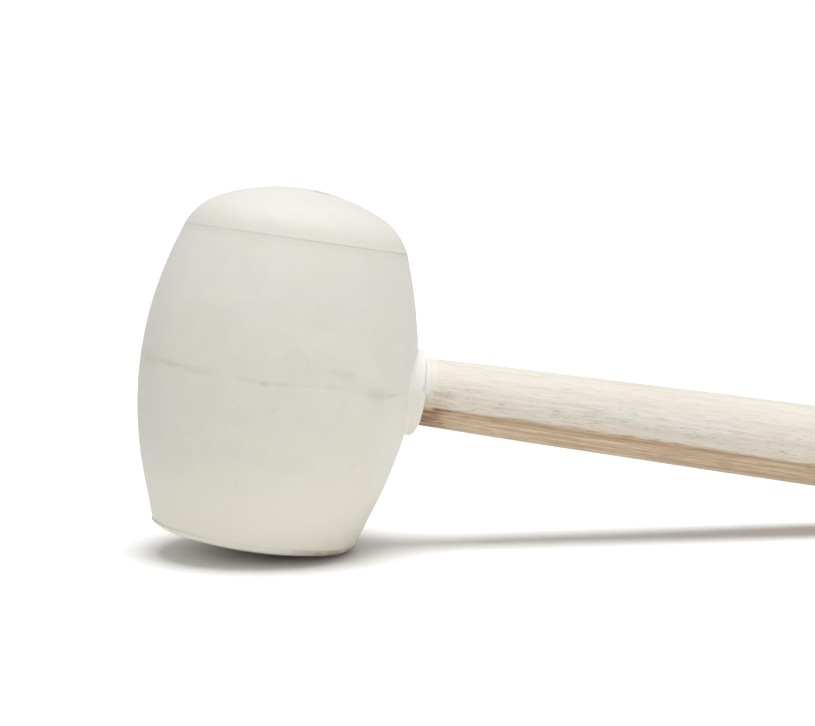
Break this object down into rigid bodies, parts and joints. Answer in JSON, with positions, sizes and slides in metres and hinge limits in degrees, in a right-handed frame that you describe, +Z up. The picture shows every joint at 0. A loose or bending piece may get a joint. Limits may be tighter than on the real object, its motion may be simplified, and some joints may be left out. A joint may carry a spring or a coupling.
{
  "type": "rubber mallet",
  "caption": "White rubber mallet with a barrel-shaped head, one domed and one nearly flat striking face, on a turned wooden handle; lying at rest.",
  "frame": {"origin": "on the floor that the mallet lies on, under the middle of its bounding box", "axes": "+Z up from the floor, +X from the head towards the end of the handle, +Y across the mallet; the handle slopes down towards +X by 8.86 degrees because the mallet lies on the crown of its flatter face and on the end of its handle"},
  "size_m": [0.365, 0.094, 0.1256],
  "materials": {
    "white_rubber": "matte",
    "handle_wood": "matte",
    "wedge_wood": "matte"
  },
  "bodies": {
    "root": {"head": "white_rubber", "handle": "handle_wood", "fox_wedge": "wedge_wood"}
  },
  "joints": []
}
